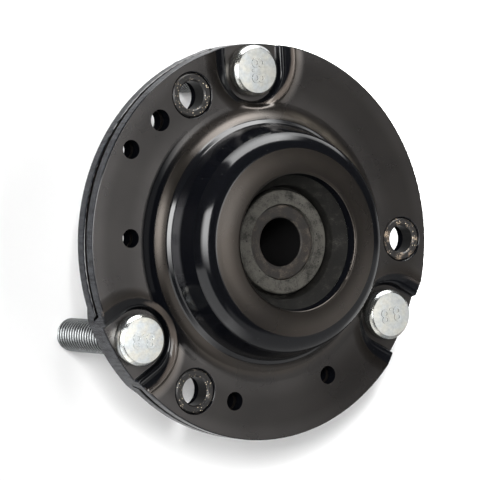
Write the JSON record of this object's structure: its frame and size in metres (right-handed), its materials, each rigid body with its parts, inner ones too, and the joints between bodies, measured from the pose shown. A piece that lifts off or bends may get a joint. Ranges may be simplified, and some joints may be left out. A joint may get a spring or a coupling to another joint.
{
  "type": "strut mount",
  "caption": "Round strut mount: pressed plates with a domed opening hold a rubber body and a steel sleeve for the rod, with threaded studs and tubular collars round the flange.",
  "frame": {"origin": "on the axis of the rod hole, in the plane of the stud tips", "axes": "+Z along the rod hole towards the dome; +Y towards the first stud; the studs point to -Z"},
  "size_m": [0.1174, 0.1174, 0.0608],
  "materials": {
    "plate_coating": "satin to gloss black coating over pressed steel, with a brownish grey bloom on the flange",
    "rubber": "matte moulded black rubber",
    "sleeve_steel": "dull dark phosphated steel with a fine grain",
    "stud_zinc": "bright zinc plating, frosted on the heads",
    "collar_coating": "satin black coating, scuffed to bare steel in places"
  },
  "bodies": {
    "root": {"front_plate": "plate_coating", "back_plate": "plate_coating", "rubber_body": "rubber", "rod_sleeve": "sleeve_steel", "stud_1": "stud_zinc", "stud_2": "stud_zinc", "stud_3": "stud_zinc", "collar_1": "collar_coating", "collar_2": "collar_coating", "collar_3": "collar_coating"}
  },
  "joints": []
}
